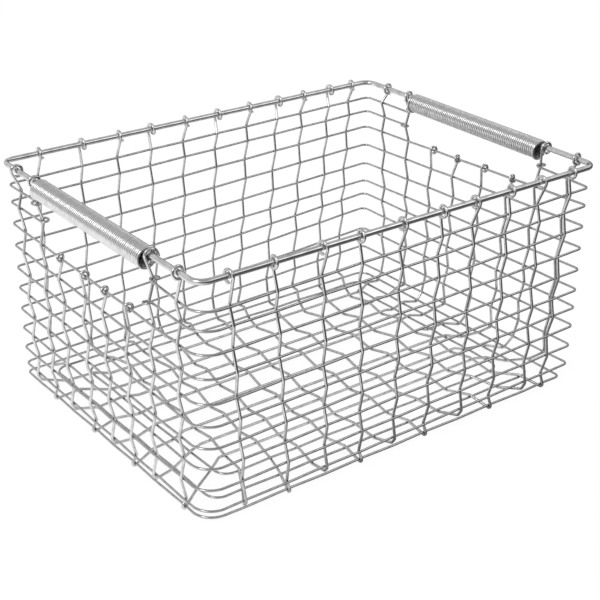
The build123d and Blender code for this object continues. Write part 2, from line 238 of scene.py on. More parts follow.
def run_line(wall, turn, depth):
    """Signed distance of a run of the weaver from the middle of the basket."""
    inset = wall_inset + edge_inset * (depth / basket_depth) ** edge_rounding
    if turn >= edge_turn:
        inset += half_size(wall) * ring_inset_shares[wall][turn - edge_turn]
    return outward[wall] * (half_size(wall) - inset)


def plan(wall, line, place):
    return (place, line) if wall in ("front", "back") else (line, place)


# %% Sideways place of a stake, anywhere on its way
def place_between(across, height, half, floor_knots, tables):
    """Read from the tables by the stake's way down the wall and over the floor."""
    edge = half - wall_inset - edge_inset
    knots = [-half - basket_depth, -edge, *floor_knots, edge, half + basket_depth]
    climbed = max(0, height - edge_height)
    along = across + (climbed if across > 0 else -climbed)
    return float(np.interp(along, knots, tables))


def long_place(i, across, height):
    knots = (-half_length * long_floor_left, half_length * long_floor_right)
    places = [half_width * t[i] for t in long_shares]
    return place_between(across, height, half_length, knots, places)


def cross_place(i, across, height):
    knot = half_width * cross_floor_knot
    places = [half_length * t[i] for t in cross_shares]
    return place_between(across, height, half_width, (-knot, knot), places)


def back_stake_place(across, height):
    floor, edge, rim = [half_length * share for share in back_stake_shares]
    knot = half_width * cross_floor_knot
    return place_between(across, height, half_width, (-knot, knot), [floor] * 4 + [edge, rim])


# %% Which stakes cross a run, and where
def stakes_on(wall, turn, line, height):
    """Place and number of each stake that crosses this turn on this wall."""
    if wall == "front":
        return [(cross_place(i, line, height), i) for i in range(cross_count) if turn >= 1]
    if wall == "back":
        crossing = [(cross_place(i, line, height), back_number[i])
                    for i in range(cross_count) if turn < last_turn]
        return crossing + [(back_stake_place(line, height), back_stake_number)] * (turn <= edge_turn)
    crossing = []
    for i in range(long_count):
        in_hole = near < i < far
        top = first_turn if in_hole else (0 if wall == "left" else int(i <= near))
        hooked = i in (near, far) and turn < first_turn
        if turn >= top and not hooked:
            numbers = left_number if wall == "left" else right_number
            crossing.append((long_place(i, line, height), numbers[i]))
    return crossing


def give(wall, turn, number):
    """How a stake moves the row that it crosses: outwards on a wall, downwards on the floor."""
    side = passes_inside(turn, number)
    if turn > edge_turn:
        return 0, -side * row_give
    if turn == edge_turn:
        return outward[wall] * side * row_give * edge_give_share, -side * row_give * edge_give_share
    return outward[wall] * side * row_give, 0


# %% Rows: straight runs, round corners and a small kink at each crossing
runs = {}


def row_points(legs, first_place, last_place):
    """Each leg is a wall, a turn and the depths at its two ends."""
    lines = [run_line(wall, turn, (a + b) / 2) for wall, turn, a, b in legs]
    radii = [corner_radius(walls.index(wall), turn) for wall, turn, _, _ in legs]
    points = []
    for i, (wall, turn, a, b) in enumerate(legs):
        start = first_place if i == 0 else lines[i - 1] + onward[wall] * radii[i]
        last = i == len(legs) - 1
        end = last_place if last else lines[i + 1] - onward[wall] * radii[i + 1]
        high, low = rim_height - a, rim_height - b
        runs.setdefault((wall, turn), []).append((lines[i], start, end, high, low))
        crossing = stakes_on(wall, turn, lines[i], (high + low) / 2)
        for place, number in sorted(crossing, key=lambda c: onward[wall] * c[0]):
            share = (place - start) / (end - start)
            if least_share < share < 1 - least_share:
                out, up = give(wall, turn, number)
                x, y = plan(wall, lines[i] + out, place)
                points.append((x, y, high + (low - high) * share + up))
        if not last:
            x, y = plan(wall, lines[i], end)
            turned = heading_of[wall] + pi / 2
            centre = (x + radii[i + 1] * cos(turned), y + radii[i + 1] * sin(turned))
            corner = bend(centre, -radii[i + 1], heading_of[wall], pi / 2, fine_step)
            points += [(x, y, low) for x, y, _ in corner]
    return points


def row_at(wall, turn, place):
    """Line and height of a row where it passes a place on a wall."""
    for line, start, end, high, low in runs[wall, turn]:
        if min(start, end) <= place <= max(start, end):
            return line, high + (low - high) * (place - start) / (end - start)
    nearest = min(runs[wall, turn], key=lambda run: min(abs(place - run[1]), abs(place - run[2])))
    return nearest[0], nearest[3] if abs(place - nearest[1]) < abs(place - nearest[2]) else nearest[4]


# %% Row ends, hooked round the stakes beside the hand holes
def row_hook(wall, turn, i, number, depth, at_start):
    line = run_line(wall, turn, depth)
    place = long_place(i, line, rim_height - depth)
    side = passes_inside(turn, number)
    x, y = plan(wall, line, place)
    centre = (x - outward[wall] * side * row_hook_reach, y)
    wrapped = hook(centre, -side * row_hook_reach, heading_of[wall], side * row_wrap, at_start)
    return [(x, y, rim_height - depth + row_hook_drift * share) for x, y, share in wrapped], place


def cut_row(passed, turns, shares, i, first_number, last_number):
    depths = [basket_depth * share for share in shares]
    legs = list(zip(passed, turns, depths, depths[1:]))
    start, first_place = row_hook(passed[0], turns[0], i, first_number, depths[0], True)
    end, last_place = row_hook(passed[-1], turns[-1], i, last_number, depths[-1], False)
    return start + row_points(legs, first_place, last_place) + end


front_row = cut_row(("left", "front", "right"), (0, 1, 1), front_row_shares,
                    near, left_number[near], right_number[near])
back_rows = [cut_row(("right", "back", "left"), (turn, turn, turn), shares,
                     far, right_number[far], left_number[far])
             for turn, shares in enumerate(back_row_shares)]

# %% The weaver, from its hook at the left hand hole to its end on the floor
start_depth = basket_depth * weaver_start_share
corners = [(corner, turn) for turn in range(first_turn, last_turn + 1) for corner in range(len(walls))]
legs = [("left", first_turn - 1, start_depth, corner_depth(*corners[0]))]
for (corner, turn), following in zip(corners, corners[1:]):
    legs.append((walls[corner], turn, corner_depth(corner, turn), corner_depth(*following)))
legs = legs[:-1]
weaver_start, start_place = row_hook("left", first_turn - 1, near, left_number[near], start_depth, True)
end_line = run_line("right", last_turn, basket_depth)
end_place = long_place(long_count - 1, end_line, floor_height)
end_side = passes_inside(last_turn, right_number[-1])
end_centre = (end_place, floor_height + end_side * weave_reach)
end_hook = hook(end_centre, -end_side * weave_reach, 0, end_side * weaver_tip_wrap, False)
weaver = weaver_start + row_points(legs, start_place, end_place)
weaver += [(end_line, y, z) for y, z, _ in end_hook]
print("weaver:", len(weaver), "points over", len(legs), "runs")

# %% [markdown]
# ## Stakes pulled taut
#
# A stake is a wire pulled tight over its stops and hooked round the first and the last. Its
# runs between the stops are straight, and each bend sits where it goes round another wire.
# The path is worked out flat, across and up, and its sideways place is read from the tables.

# %% Stops and the taut path between them
def wall_stops(wall, turns, number, place_of):
    stops = []
    for turn in turns:
        line, height = row_at(wall, turn, 0)
        for _ in range(2):
            line, height = row_at(wall, turn, place_of(line, height))
        hooked = number in (left_number[near], left_number[far], right_number[near], right_number[far])
        out, up = (0, 0) if hooked and turn < first_turn else give(wall, turn, number)
        stops.append((line + out, height + up, passes_inside(turn, number) * weave_reach))
    return stops


def rim_stop(line, top_turn, number):
    """A stake passes the rim rod like one more turn of the weaver."""
    return line, rim_height - rod_hook_hang, passes_inside(top_turn - 1, number) * rod_reach


def top_stop(crossing):
    """A stake's end stands on the row under a hand hole, in a ring that is a little wide for it."""
    line, height, reach = crossing
    return line, height + top_hook_rise, copysign(top_hook_reach, reach)


def pull_taut(stops):
    """A stop is (across, height, reach). Reach is kept to the left of the way, inside the basket."""
    ways = []
    for (u, z, reach), (next_u, next_z, next_reach) in zip(stops, stops[1:]):
        lean = asin((next_reach - reach) / hypot(next_u - u, next_z - z))
        ways.append(atan2(next_z - z, next_u - u) + lean)
    u, z, reach = stops[0]
    points = hook((u, z), reach, ways[0], stake_wrap if reach < 0 else -stake_wrap, True)
    for (u, z, reach), way, next_way in zip(stops[1:], ways, ways[1:]):
        turn = (next_way - way + pi) % (2 * pi) - pi
        points += [(*point[:2], 0) for point in bend((u, z), reach, way, turn)]
    u, z, reach = stops[-1]
    return points + hook((u, z), reach, ways[-1], stake_wrap if reach < 0 else -stake_wrap, False)


def aside(lean, share):
    """Only a stake's hooks stand aside from its line, and its tips most."""
    return lean + copysign(stake_hook_drift, lean) * share if share else 0


# %% Paths of all the stakes
def cross_stake(i):
    place_of = partial(cross_place, i)
    front = wall_stops("front", range(1, last_turn + 1), i, place_of)
    back = wall_stops("back", range(last_turn - 1, -1, -1), back_number[i], place_of)
    side = passes_inside(last_turn, i)
    middle = [(half_width * share, floor_height, stake_reach * (side if j % 2 else -side))
              for j, share in enumerate(long_floor)]
    front_rim, back_rim = rim_stop(-half_width, 1, i), rim_stop(half_width, 0, back_number[i])
    wire = pull_taut([front_rim, *front, *middle, *back, back_rim])
    return [(place_of(u, z) + aside(hook_leans["front" if u < 0 else "back"], share), u, z)
            for u, z, share in wire]


def back_stake():
    stops = wall_stops("back", range(edge_turn, -1, -1), back_stake_number, back_stake_place)
    wire = pull_taut([*stops, rim_stop(half_width, 0, back_stake_number)])
    return [(back_stake_place(u, z) + aside(hook_leans["back"], share), u, z)
            for u, z, share in wire]


def long_stake(i):
    place_of = partial(long_place, i)
    in_hole = near < i < far
    left_top, right_top = first_turn if in_hole else 0, first_turn if in_hole else int(i <= near)
    left = wall_stops("left", range(left_top, last_turn), left_number[i], place_of)
    right = wall_stops("right", range(last_turn, right_top - 1, -1), right_number[i], place_of)
    middle = [(-half_length * long_floor_left, floor_height, 0),
              (half_length * long_floor_right, floor_height, 0)]
    if in_hole:
        stops = [top_stop(left[0]), *left[1:], *middle, *right[:-1], top_stop(right[-1])]
    else:
        stops = [rim_stop(-half_length, left_top, left_number[i]), *left, *middle, *right,
                 rim_stop(half_length, right_top, right_number[i])]
    leans = [far_hook_lean if i == far else hook_leans[wall] for wall in ("left", "right")]
    return [(u, place_of(u, z) + aside(leans[u > 0], share), z) for u, z, share in pull_taut(stops)]


# %% [markdown]
# ## The rim rod and the springs
#
# The rod is bent to a rounded rectangle and closed in the middle of the back. The grips are
# springs wound so close that their turns nearly touch. Their bores are wider than the rod, so
# each hangs with the top of its bore on it, and its open ends show a dark hole with the rod
# high up in it. Their cut ends have sprung open a little, and the right one has slid towards
# the front.

# %% Paths of the rim rod and the springs
def rim_path():
    points = [(0, half_width)]
    rim_corners = ((-half_length, half_width), (-half_length, -half_width),
                   (half_length, -half_width), (half_length, half_width))
    for (x, y), heading in zip(rim_corners, (pi, 3 * pi / 2, 0, pi / 2)):
        centre = (x - copysign(rim_corner, x), y - copysign(rim_corner, y))
        points += [corner[:2] for corner in bend(centre, -rim_corner, heading, pi / 2, rim_step)]
    return [(x, y, rim_height) for x, y in points]


spring_diameter, spring_wire, spring_turns, steps_in_turn = 18.0, 2.3, 74, 24
bore_gap, end_play, slid_to_front = 0.12, 1.5, 3.5
flare, flared_turns, radius_wander, pitch_wander = 0.9, 1.2, 0.03, 0.008
spring_radius = (spring_diameter - spring_wire) / 2
spring_drop = spring_radius - spring_wire / 2 - rod_diameter / 2 - bore_gap
hook_beside = half_width * long_shares[-1][far] + far_hook_lean
spring_half = hook_beside - stake_diameter / 2 - end_play - spring_wire / 2


def spring_path(line, seed, slid):
    """A helix along Y. Its pitch and its size wander a little, and its cut ends spring open."""
    sway = np.random.default_rng(seed).normal(0, 1, (2, spring_turns + 1))
    points = []
    for step in range(spring_turns * steps_in_turn + 1):
        angle, turn = 2 * pi * step / steps_in_turn, step / steps_in_turn
        wander = [float(np.interp(turn, range(spring_turns + 1), row)) for row in sway]
        opened = flare * max(0, 1 - min(turn, spring_turns - turn) / flared_turns)
        radius = spring_radius + radius_wander * wander[0] + opened
        place = spring_half * (2 * turn / spring_turns - 1) + pitch_wander * wander[1] - slid
        points.append((line - copysign(opened, line) + radius * cos(angle), place,
                       rim_height - spring_drop - opened + radius * sin(angle)))
    return points


print("spring pitch", round(2 * spring_half / spring_turns, 2), "mm for a wire of", spring_wire, "mm")

# %% [markdown]
# ## From a path to a round wire
#
# A curve with a round bevel would do, but it gives no say over where its rings go. A mesh
# built ring by ring has its rings close together in the bends and far apart on the straight
# runs, so the bends are round, the runs stay straight and the mesh stays light. It also
# carries a map of the way along and around each wire, which the finish follows later.

# %% Round each corner of a path
stake_ease, weaver_ease, least_gap = 1.3, 2.2, 0.02


def eased(points, ease):
    """Swap each corner for a short curve that starts and ends on the straight runs."""
    path = np.array(points, float)
    out = [path[0]]
    for before, corner, after in zip(path, path[1:], path[2:]):
        back, ahead = before - corner, after - corner
        back_length, ahead_length = np.linalg.norm(back), np.linalg.norm(ahead)
        turn = pi - float(np.arccos(np.clip(back @ ahead / (back_length * ahead_length), -1, 1)))
        start = corner + back * min(ease / back_length, 0.5)
        end = corner + ahead * min(ease / ahead_length, 0.5)
        for t in np.linspace(0, 1, 2 + ceil(turn / fine_step)):
            out.append((1 - t) ** 2 * start + 2 * t * (1 - t) * corner + t * t * end)
    out.append(path[-1])
    kept = [out[0]]
    for point in out[1:]:
        if np.linalg.norm(point - kept[-1]) > least_gap:
            kept.append(point)
    return np.array(kept)


# %% Rings that turn with the path and never twist
def unit_rows(rows):
    return rows / np.linalg.norm(rows, axis=1)[:, None]


def ring_frames(path, closed):
    ahead = np.roll(path, -1, 0) - path
    behind = path - np.roll(path, 1, 0)
    if not closed:
        ahead[-1], behind[0] = behind[-1], ahead[0]
    tangent = unit_rows(unit_rows(ahead) + unit_rows(behind))
    side = np.cross(tangent[0], (0, 0, 1) if abs(tangent[0][2]) < 0.9 else (1, 0, 0))
    sides = []
    for t in tangent:
        side = side - t * (side @ t)
        side = side / np.linalg.norm(side)
        sides.append(side)
    sides = np.array(sides)
    return tangent, sides, np.cross(tangent, sides)


# %% Rings along a wire, and the smaller ones at its cut ends
end_rings = ((-0.16, 1.0), (-0.06, 0.93), (0.0, 0.78), (0.012, 0.3))   # place and size, in radii


def wire_rings(path, radius, around, closed):
    """Rings of points round a path, and how far along the wire each of them lies."""
    tangent, side, up = ring_frames(path, closed)
    angle = 2 * pi * np.arange(around) / around
    cosine, sine = np.cos(angle)[None, :, None], np.sin(angle)[None, :, None]
    spoke = cosine * side[:, None] + sine * up[:, None]
    step = np.linalg.norm(np.diff(path, axis=0), axis=1)
    along = np.concatenate([[0], np.cumsum(step)])
    rings = [path[i] + radius * spoke[i] for i in range(len(path))]
    ways = list(along)
    if not closed:
        first = [path[0] - radius * (at * tangent[0] - size * spoke[0]) for at, size in end_rings]
        last = [path[-1] + radius * (at * tangent[-1] + size * spoke[-1]) for at, size in end_rings]
        rings = first[::-1] + rings[1:-1] + last
        ways = [along[0]] * len(first) + ways[1:-1] + [along[-1]] * len(last)
    return rings, ways


# %% Faces between the rings, and where each corner lies on the two maps
bake_start, bake_length, bake_margin, bake_span, cap_place = 0.01, 0.94, 0.05, 0.9, 0.995


def wire_faces(ways, gap, diameter, around, closed):
    """One map is true to the way along the wire. The other lays it in strips, for baking."""
    count = len(ways)
    faces, flat, unrolled = [], [], []
    strips = max(1, round((ways[-1] / (pi * diameter)) ** 0.5))
    strip_length = ways[-1] / strips + 1e-6
    for i in range(count if closed else count - 1):
        j = (i + 1) % count
        start, end = ways[i], ways[j] if j else ways[-1] + gap
        strip = min(int(start / strip_length), strips - 1)
        low, high = [(way - strip * strip_length) / strip_length * bake_length + bake_start
                     for way in (start, end)]
        high = min(high, 1)
        for k in range(around):
            n = (k + 1) % around
            faces.append((i * around + k, j * around + k, j * around + n, i * around + n))
            u0, u1 = k / around, (k + 1) / around
            v0, v1 = [(strip + bake_margin + bake_span * u) / strips for u in (u0, u1)]
            flat += [(u0, start), (u0, end), (u1, end), (u1, start)]
            unrolled += [(low, v0), (high, v0), (high, v1), (low, v1)]
    if not closed:
        one_ring = tuple(range(around))
        faces += [one_ring[::-1], tuple((count - 1) * around + k for k in one_ring)]
        flat += [(0, 0)] * (2 * around)
        unrolled += [(cap_place, 0.5 / strips)] * (2 * around)
    return faces, flat, unrolled


# %% Wire mesh
wires = {}


def round_wire(name, path, diameter, around, closed=False):
    """Build the wire as a mesh in metres. Vertices that would be under the ground are worn flat."""
    path = np.array(path, float)
    rings, ways = wire_rings(path, diameter / 2, around, closed)
    gap = float(np.linalg.norm(path[0] - path[-1]))
    faces, flat, unrolled = wire_faces(ways, gap, diameter, around, closed)
    verts = np.concatenate(rings)
    verts[:, 2] = np.maximum(verts[:, 2], 0)
    mesh = bpy.data.meshes.new(name)
    mesh.from_pydata((verts / 1000).tolist(), [], faces)
    way_map, bake_map = mesh.uv_layers.new(name="along"), mesh.uv_layers.new(name="OFBake")
    way_map.data.foreach_set("uv", np.array(flat, "f").ravel() * np.array([1, 0.001] * len(flat), "f"))
    bake_map.data.foreach_set("uv", np.array(unrolled, "f").ravel())
    mesh.polygons.foreach_set("use_smooth", [True] * len(mesh.polygons))
    mesh.validate()
    piece = bpy.data.objects.new(name, mesh)
    bpy.context.scene.collection.objects.link(piece)
    wires[name] = (piece, path, diameter / 2)
    return piece


# %% Build every wire of the basket
rod_around, stake_around, weaver_around, spring_around = 28, 14, 12, 12
basket = {"rim_rod": round_wire("rim_rod_bent", rim_path(), rod_diameter, rod_around, closed=True)}
rows = {"weaver": weaver, "front_top_row": front_row,
        "back_top_row_upper": back_rows[0], "back_top_row_lower": back_rows[1]}
stakes = {f"cross_stake_{i + 1:02d}": cross_stake(i) for i in range(cross_count)}
stakes.update({f"long_stake_{i + 1}": long_stake(i) for i in range(long_count)})
stakes["back_stake"] = back_stake()
for node, path in rows.items():
    basket[node] = round_wire(node + "_wire", eased(path, weaver_ease), weaver_diameter, weaver_around)
for node, path in stakes.items():
    basket[node] = round_wire(node + "_wire", eased(path, stake_ease), stake_diameter, stake_around)
springs = {}
for node, line, seed, slid in (("grip_left", -half_length, 3, 0),
                               ("grip_right", half_length, 8, slid_to_front)):
    path = spring_path(line, seed, slid)
    springs[node] = round_wire(node + "_spring", path, spring_wire, spring_around)

print(sum(len(piece.data.polygons) for piece, _, _ in wires.values()), "faces in", len(wires), "wires")
for name, (_, path, _) in wires.items():
    run = np.vstack((path, path[:1])) if name == "rim_rod_bent" else path
    length = np.linalg.norm(np.diff(run, axis=0), axis=1).sum() / 1000
    print(name, "is", round(float(length), 2), "m long")

# %% [markdown]
# ## Painted shade where wires touch
#
# Where two wires press on each other, a spot about a millimetre wide is painted darker and
# rougher: painted shade, which draws the small dark ticks that make a weave look woven. The
# spots are found by measuring: where two paths come within touching distance, there is a spot,
# and each vertex remembers how near it is to one. On the springs the shade is painted deep in
# the bore and between two turns, so there a vertex remembers how deep it lies.

# %% Find the spots where wires touch
sample_gap, touching = 0.8, 0.45


def tree_of(points):
    tree = KDTree(len(points))
    for i, point in enumerate(points):
        tree.insert(point, i)
    tree.balance()
    return tree


samples = []
for number, (name, (_, path, radius)) in enumerate(wires.items()):
    if name.endswith("_spring"):
        continue
    for a, b in zip(path, path[1:]):
        pieces = max(1, ceil(float(np.linalg.norm(b - a)) / sample_gap))
        samples += [(a + (b - a) * i / pieces, number, radius) for i in range(pieces)]
sample_tree = tree_of([point for point, _, _ in samples])

spots = []
for point, number, radius in samples:
    for other, i, distance in sample_tree.find_range(point, radius + rod_diameter / 2 + touching):
        _, other_number, other_radius = samples[i]
        if number < other_number and distance < radius + other_radius + touching:
            share = radius / (radius + other_radius)
            spots.append(Vector(point) + (other - Vector(point)) * share)
spot_tree = tree_of(spots)
print(len(spots), "samples of touching wires")

# %% Mark each vertex by how much painted shade it gets
spot_size, bore_share, bore_most = 1.1, 0.6, 1.2
crevice_share, crevice_growth, crevice_most = 0.5, 1.3, 0.7
for name, (piece, path, radius) in wires.items():
    painted_shade = piece.data.attributes.new("painted_shade", "FLOAT", "POINT")
    # Springs: painted shade deep in the bore and in the grooves between turns
    if name.endswith("_spring"):
        axis = np.array((copysign(half_length, path[0][0]), rim_height - spring_drop))
        verts = np.array([vertex.co for vertex in piece.data.vertices]) * 1000
        deep = spring_radius - np.linalg.norm(verts[:, (0, 2)] - axis, axis=1)
        rings = verts[:, 1].reshape(-1, spring_around)
        to_next_turn = np.abs(rings - rings.mean(1, keepdims=True)).ravel() / radius
        in_bore = np.clip(deep / (bore_share * radius), 0, bore_most)
        in_crevice = np.clip(crevice_growth * (to_next_turn - crevice_share), 0, crevice_most)
        near_spot = np.maximum(in_bore, in_crevice)
    else:
        # Other wires: painted shade near each spot where they touch another wire
        near_spot = [max(0, 1 - spot_tree.find(vertex.co * 1000)[2] / spot_size)
                     for vertex in piece.data.vertices]
    painted_shade.data.foreach_set("value", near_spot)
print("marked", len(wires), "wires")

# %% [markdown]
# ## Shared effects of the finish
#
# Wire gets its surface by being drawn through a die, which leaves fine lines along it, and
# then by plating, which is bright but never even. Both effects are on every wire in this
# basket, so each is a node group, made once and given its own values in each material. The
# groups follow the map along and around the wire, so a line stays on its wire in every bend.

# %% Small helpers for node trees
def new_group(name, inputs, outputs):
    group = bpy.data.node_groups.new(name, "ShaderNodeTree")
    for label, kind, value in inputs:
        socket = group.interface.new_socket(name=label, in_out="INPUT", socket_type=kind)
        socket.default_value = value
    for label, kind in outputs:
        group.interface.new_socket(name=label, in_out="OUTPUT", socket_type=kind)
    return group, group.nodes.new("NodeGroupInput"), group.nodes.new("NodeGroupOutput")


def feed(tree, value, socket):
    """Give a socket a number, or link another socket to it."""
    if isinstance(value, (int, float)):
        socket.default_value = value
    else:
        tree.links.new(value, socket)


def maths(tree, operation, *values):
    node = tree.nodes.new("ShaderNodeMath")
    node.operation = operation
    for socket, value in zip(node.inputs, values):
        feed(tree, value, socket)
    return node.outputs[0]


def plus(tree, first, second):
    return maths(tree, "ADD", first, second)


def minus(tree, first, second):
    return maths(tree, "SUBTRACT", first, second)


def times(tree, first, second):
    return maths(tree, "MULTIPLY", first, second)


# %% Helpers for places, textures and mixes
def split(tree, vector):
    node = tree.nodes.new("ShaderNodeSeparateXYZ")
    tree.links.new(vector, node.inputs["Vector"])
    return [node.outputs[axis] for axis in "XYZ"]


def ramp(tree, value, low, high):
    """0 up to low, 1 from high on, smooth between them."""
    node = tree.nodes.new("ShaderNodeMapRange")
    node.interpolation_type = "SMOOTHSTEP"
    node.inputs["From Min"].default_value = low
    node.inputs["From Max"].default_value = high
    tree.links.new(value, node.inputs["Value"])
    return node.outputs["Result"]


def noise(tree, vector, scale, detail, roughness):
    node = tree.nodes.new("ShaderNodeTexNoise")
    node.inputs["Detail"].default_value = detail
    node.inputs["Roughness"].default_value = roughness
    tree.links.new(vector, node.inputs["Vector"])
    feed(tree, scale, node.inputs["Scale"])
    return node.outputs["Fac"]


def mixed(tree, share, first, second):
    """A mix of two colours, or of two shaders."""
    shaders = first.type == "SHADER"
    node = tree.nodes.new("ShaderNodeMixShader" if shaders else "ShaderNodeMix")
    if not shaders:
        node.data_type = "RGBA"
    usable = [socket for socket in node.inputs if socket.enabled]
    for value, socket in zip((share, first, second), usable):
        tree.links.new(value, socket)
    return [socket for socket in node.outputs if socket.enabled][0]


def seen_directly(tree, rays):
    """1 for what the camera sees itself, also through glass."""
    return maths(tree, "MAXIMUM", rays.outputs["Is Camera Ray"], rays.outputs["Is Transmission Ray"])


# %% Group: a place on the wire, and the lines that the die left
line_scale = 9.0
drawn, drawn_in, drawn_out = new_group(
    "drawn_lines",
    [("Radius mm", "NodeSocketFloat", 1.2), ("Stretch", "NodeSocketFloat", 0.06)],
    [("Place", "NodeSocketVector"), ("Lines", "NodeSocketFloat")])
way = drawn.nodes.new("ShaderNodeUVMap")
way.uv_map = "along"
around, along, _ = split(drawn, way.outputs["UV"])
turned = times(drawn, around, 2 * pi)
x = times(drawn, maths(drawn, "COSINE", turned), drawn_in.outputs["Radius mm"])
y = times(drawn, maths(drawn, "SINE", turned), drawn_in.outputs["Radius mm"])
z = times(drawn, along, 1000)
place = drawn.nodes.new("ShaderNodeCombineXYZ")
stretched = drawn.nodes.new("ShaderNodeCombineXYZ")
for node, height in ((place, z), (stretched, times(drawn, z, drawn_in.outputs["Stretch"]))):
    for value, socket in zip((x, y, height), node.inputs):
        drawn.links.new(value, socket)
lines = noise(drawn, stretched.outputs["Vector"], line_scale, detail=4.0, roughness=0.65)
drawn.links.new(place.outputs["Vector"], drawn_out.inputs["Place"])
drawn.links.new(lines, drawn_out.inputs["Lines"])

# %% Group: bright plating that has dulled unevenly, with pinholes, and painted shade at contacts and in grooves
cloud_edges, pore_scale, pore_edges = (0.38, 0.68), 2.6, (0.72, 0.80)
shade_scale, shade_lift, shade_edges = 1.1, 0.75, (0.30, 0.85)
least_dulling, pore_tint, pore_depth, shade_tint, shade_roughness = 0.3, 0.5, 0.6, 0.55, 0.25
plating, plating_in, plating_out = new_group(
    "plating",
    [("Place", "NodeSocketVector", (0, 0, 0)), ("Lines", "NodeSocketFloat", 0.5),
     ("Bright", "NodeSocketColor", (0.7, 0.7, 0.7, 1)), ("Dull", "NodeSocketColor", (0.5, 0.5, 0.5, 1)),
     ("Pit and shade", "NodeSocketColor", (0.06, 0.055, 0.05, 1)), ("Painted shade", "NodeSocketFloat", 0.0),
     ("Cloud scale", "NodeSocketFloat", 0.12),
     ("Smooth", "NodeSocketFloat", 0.2), ("Rough", "NodeSocketFloat", 0.4)],
    [("Color", "NodeSocketColor"), ("Roughness", "NodeSocketFloat"), ("Height", "NodeSocketFloat")])
given = plating_in.outputs
clouds = noise(plating, given["Place"], given["Cloud scale"], detail=5.0, roughness=0.6)
cloud = ramp(plating, clouds, *cloud_edges)
pinholes = noise(plating, given["Place"], pore_scale, detail=2.0, roughness=0.5)
pores = ramp(plating, pinholes, *pore_edges)
# Painted shade: darker and rougher where the vertex map says, with a noisy edge
spread = noise(plating, given["Place"], shade_scale, detail=2.0, roughness=0.6)
painted_shade = times(plating, given["Painted shade"], plus(plating, spread, shade_lift))
shade_mask = ramp(plating, painted_shade, *shade_edges)

dulling = times(plating, cloud, plus(plating, given["Lines"], least_dulling))
dulled = mixed(plating, dulling, given["Bright"], given["Dull"])
pitted = mixed(plating, times(plating, pores, pore_tint), dulled, given["Pit and shade"])
shaded = mixed(plating, times(plating, shade_mask, shade_tint), pitted, given["Pit and shade"])
plating.links.new(shaded, plating_out.inputs["Color"])

rougher = minus(plating, given["Rough"], given["Smooth"])
dullness = times(plating, rougher, times(plating, cloud, given["Lines"]))
unstained = plus(plating, given["Smooth"], dullness)
roughness = plus(plating, unstained, times(plating, shade_mask, shade_roughness))
plating.links.new(roughness, plating_out.inputs["Roughness"])
height = minus(plating, given["Lines"], times(plating, pores, pore_depth))
plating.links.new(height, plating_out.inputs["Height"])
print("groups:", [group.name for group in bpy.data.node_groups])

# %% [markdown]
# ## Four finishes
#
# All the wire is steel under a bright, neutral plating, but each kind looks a little
# different. The thick rod and the stakes are bright and rather soft in their shine. The
# weaver is darker and smoother. The springs, wound from hard wire, are the whitest.

# %% Plated wire as a material
bump_depth = 0.00005   # metres


def plated_wire(name, diameter, bright, dull, smooth, rough, cloud_scale, bump):
    material = bpy.data.materials.new(name)
    material.use_nodes = True
    tree = material.node_tree
    link = tree.links.new
    shader = tree.nodes["Principled BSDF"]
    shader.inputs["Metallic"].default_value = 1.0
    lines = tree.nodes.new("ShaderNodeGroup")
    lines.node_tree = drawn
    lines.inputs["Radius mm"].default_value = diameter / 2
    plate = tree.nodes.new("ShaderNodeGroup")
    plate.node_tree = plating
    for label, value in (("Bright", (*bright, 1)), ("Dull", (*dull, 1)), ("Cloud scale", cloud_scale),
                         ("Smooth", smooth), ("Rough", rough)):
        plate.inputs[label].default_value = value
    # The painted shade that each vertex carries, from the vertex map
    painted_shade = tree.nodes.new("ShaderNodeAttribute")
    painted_shade.attribute_name = "painted_shade"
    relief = tree.nodes.new("ShaderNodeBump")
    relief.inputs["Strength"].default_value = bump
    relief.inputs["Distance"].default_value = bump_depth
    link(lines.outputs["Place"], plate.inputs["Place"])
    link(lines.outputs["Lines"], plate.inputs["Lines"])
    link(painted_shade.outputs["Fac"], plate.inputs["Painted shade"])
    link(plate.outputs["Color"], shader.inputs["Base Color"])
    link(plate.outputs["Roughness"], shader.inputs["Roughness"])
    link(plate.outputs["Height"], relief.inputs["Height"])
    link(relief.outputs["Normal"], shader.inputs["Normal"])
    return material


# %% The four finishes, one for each kind of wire
rim_finish = plated_wire(
    "rim_rod_plating", rod_diameter, bright=(0.74, 0.74, 0.745), dull=(0.52, 0.525, 0.535),
    smooth=0.16, rough=0.42, cloud_scale=0.10, bump=0.35)
stake_finish = plated_wire(
    "stake_plating", stake_diameter, bright=(0.74, 0.74, 0.742), dull=(0.54, 0.543, 0.55),
    smooth=0.15, rough=0.34, cloud_scale=0.16, bump=0.22)
weaver_finish = plated_wire(
    "weaver_plating", weaver_diameter, bright=(0.54, 0.54, 0.545), dull=(0.39, 0.393, 0.40),
    smooth=0.12, rough=0.26, cloud_scale=0.16, bump=0.12)
spring_finish = plated_wire(
    "spring_plating", spring_wire, bright=(0.82, 0.82, 0.82), dull=(0.62, 0.62, 0.625),
    smooth=0.17, rough=0.38, cloud_scale=0.14, bump=0.35)
finish_of = {"rim_rod": rim_finish, "stake_wire": stake_finish, "weaver_wire": weaver_finish}
print("finishes:", [finish.name for finish in (*finish_of.values(), spring_finish)])

# %% Every wire takes its finish, its node's place and its body
for node, piece in basket.items():
    kind = "rim_rod" if node == "rim_rod" else "stake_wire" if "stake" in node else "weaver_wire"
    piece.data.materials.append(finish_of[kind])
    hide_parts(node)
    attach(piece, "basket")
for node, piece in springs.items():
    piece.data.materials.append(spring_finish)
    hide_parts(node)
    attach(piece, "left_grip" if node == "grip_left" else "right_grip")
print("dressed", len(basket) + len(springs), "of", len(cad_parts), "nodes")

# %% [markdown]
# ## A white table with a near edge
#
# The photograph shows the basket on plain white. A matt pale table that also glows towards the
# camera gives that white and keeps a soft shadow, without more light on the wires. Mirror
# rays see the same glow, because the wires show the table in their lower halves. The basket
# stands near the table's front edge, where the camera and its stand keep the light off the
# right part of the table, and the basket shades what is under it. Only the wires show that,
# as their dark line.

